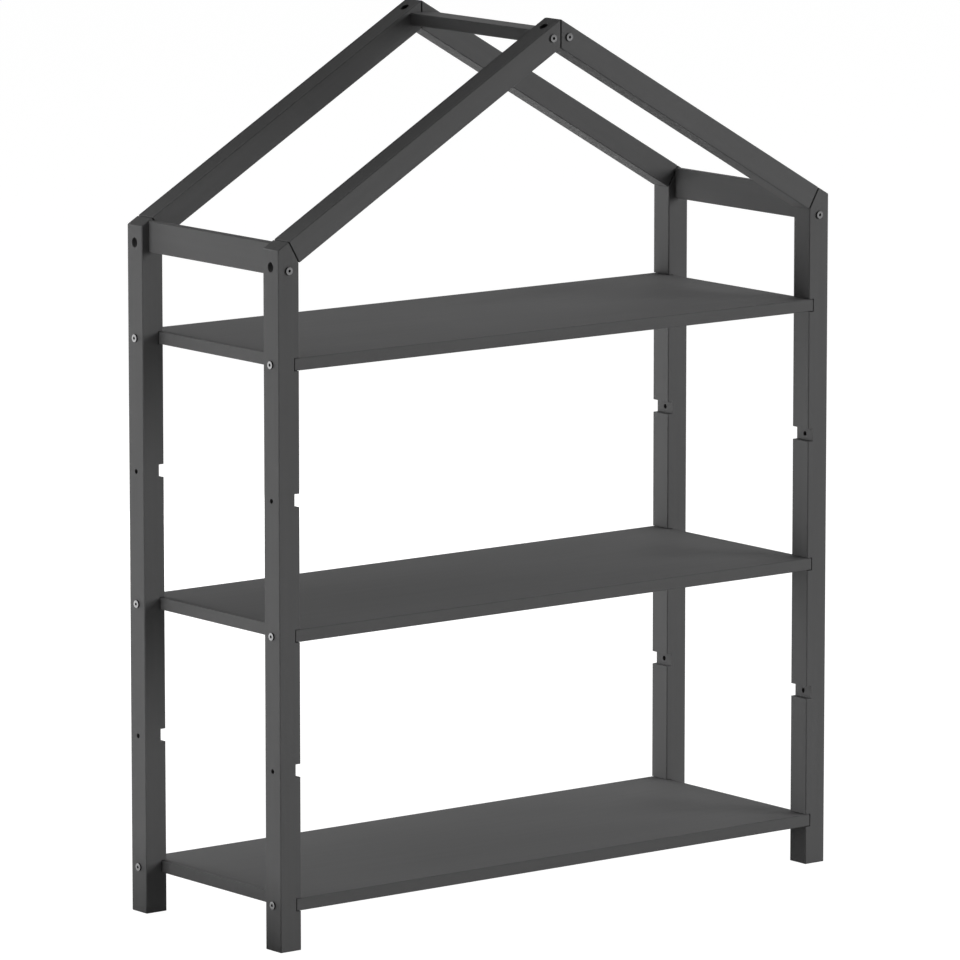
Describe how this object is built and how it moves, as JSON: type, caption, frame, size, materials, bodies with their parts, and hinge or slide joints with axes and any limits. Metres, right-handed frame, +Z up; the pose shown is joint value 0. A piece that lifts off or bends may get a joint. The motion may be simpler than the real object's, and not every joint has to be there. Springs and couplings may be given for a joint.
{
  "type": "bookshelf",
  "caption": "House-shaped open bookshelf for a child's room: notched square posts, full-depth open shelves and a pitched open roof frame, screwed together, in dark grey painted wood.",
  "frame": {"origin": "on the floor, midway between the outer faces of the sides and midway between the front and the rear gable", "axes": "+Z up, +X along the shelves towards the right-hand side as seen from the front, -Y towards the front gable"},
  "size_m": [1.0048, 0.3648, 1.2844],
  "materials": {
    "painted_wood": "matt dark grey paint",
    "screw_steel": "satin",
    "dowel_wood": "plain beech"
  },
  "bodies": {
    "root": {"post_left_front": "painted_wood", "post_left_rear": "painted_wood", "post_right_front": "painted_wood", "post_right_rear": "painted_wood", "shelf_bottom": "painted_wood", "shelf_middle": "painted_wood", "shelf_top": "painted_wood", "side_rail_left": "painted_wood", "side_rail_right": "painted_wood", "rafter_left_front": "painted_wood", "rafter_left_rear": "painted_wood", "rafter_right_front": "painted_wood", "rafter_right_rear": "painted_wood", "ridge_beam": "painted_wood", "shelf_bottom_screws": "screw_steel", "shelf_middle_screws": "screw_steel", "shelf_top_screws": "screw_steel", "side_rail_left_screws": "screw_steel", "side_rail_right_screws": "screw_steel", "side_rail_dowels": "dowel_wood", "ridge_beam_front_screws": "screw_steel", "ridge_beam_rear_screws": "screw_steel", "eaves_front_screws": "screw_steel", "eaves_rear_screws": "screw_steel", "ridge_screws": "screw_steel"}
  },
  "joints": []
}
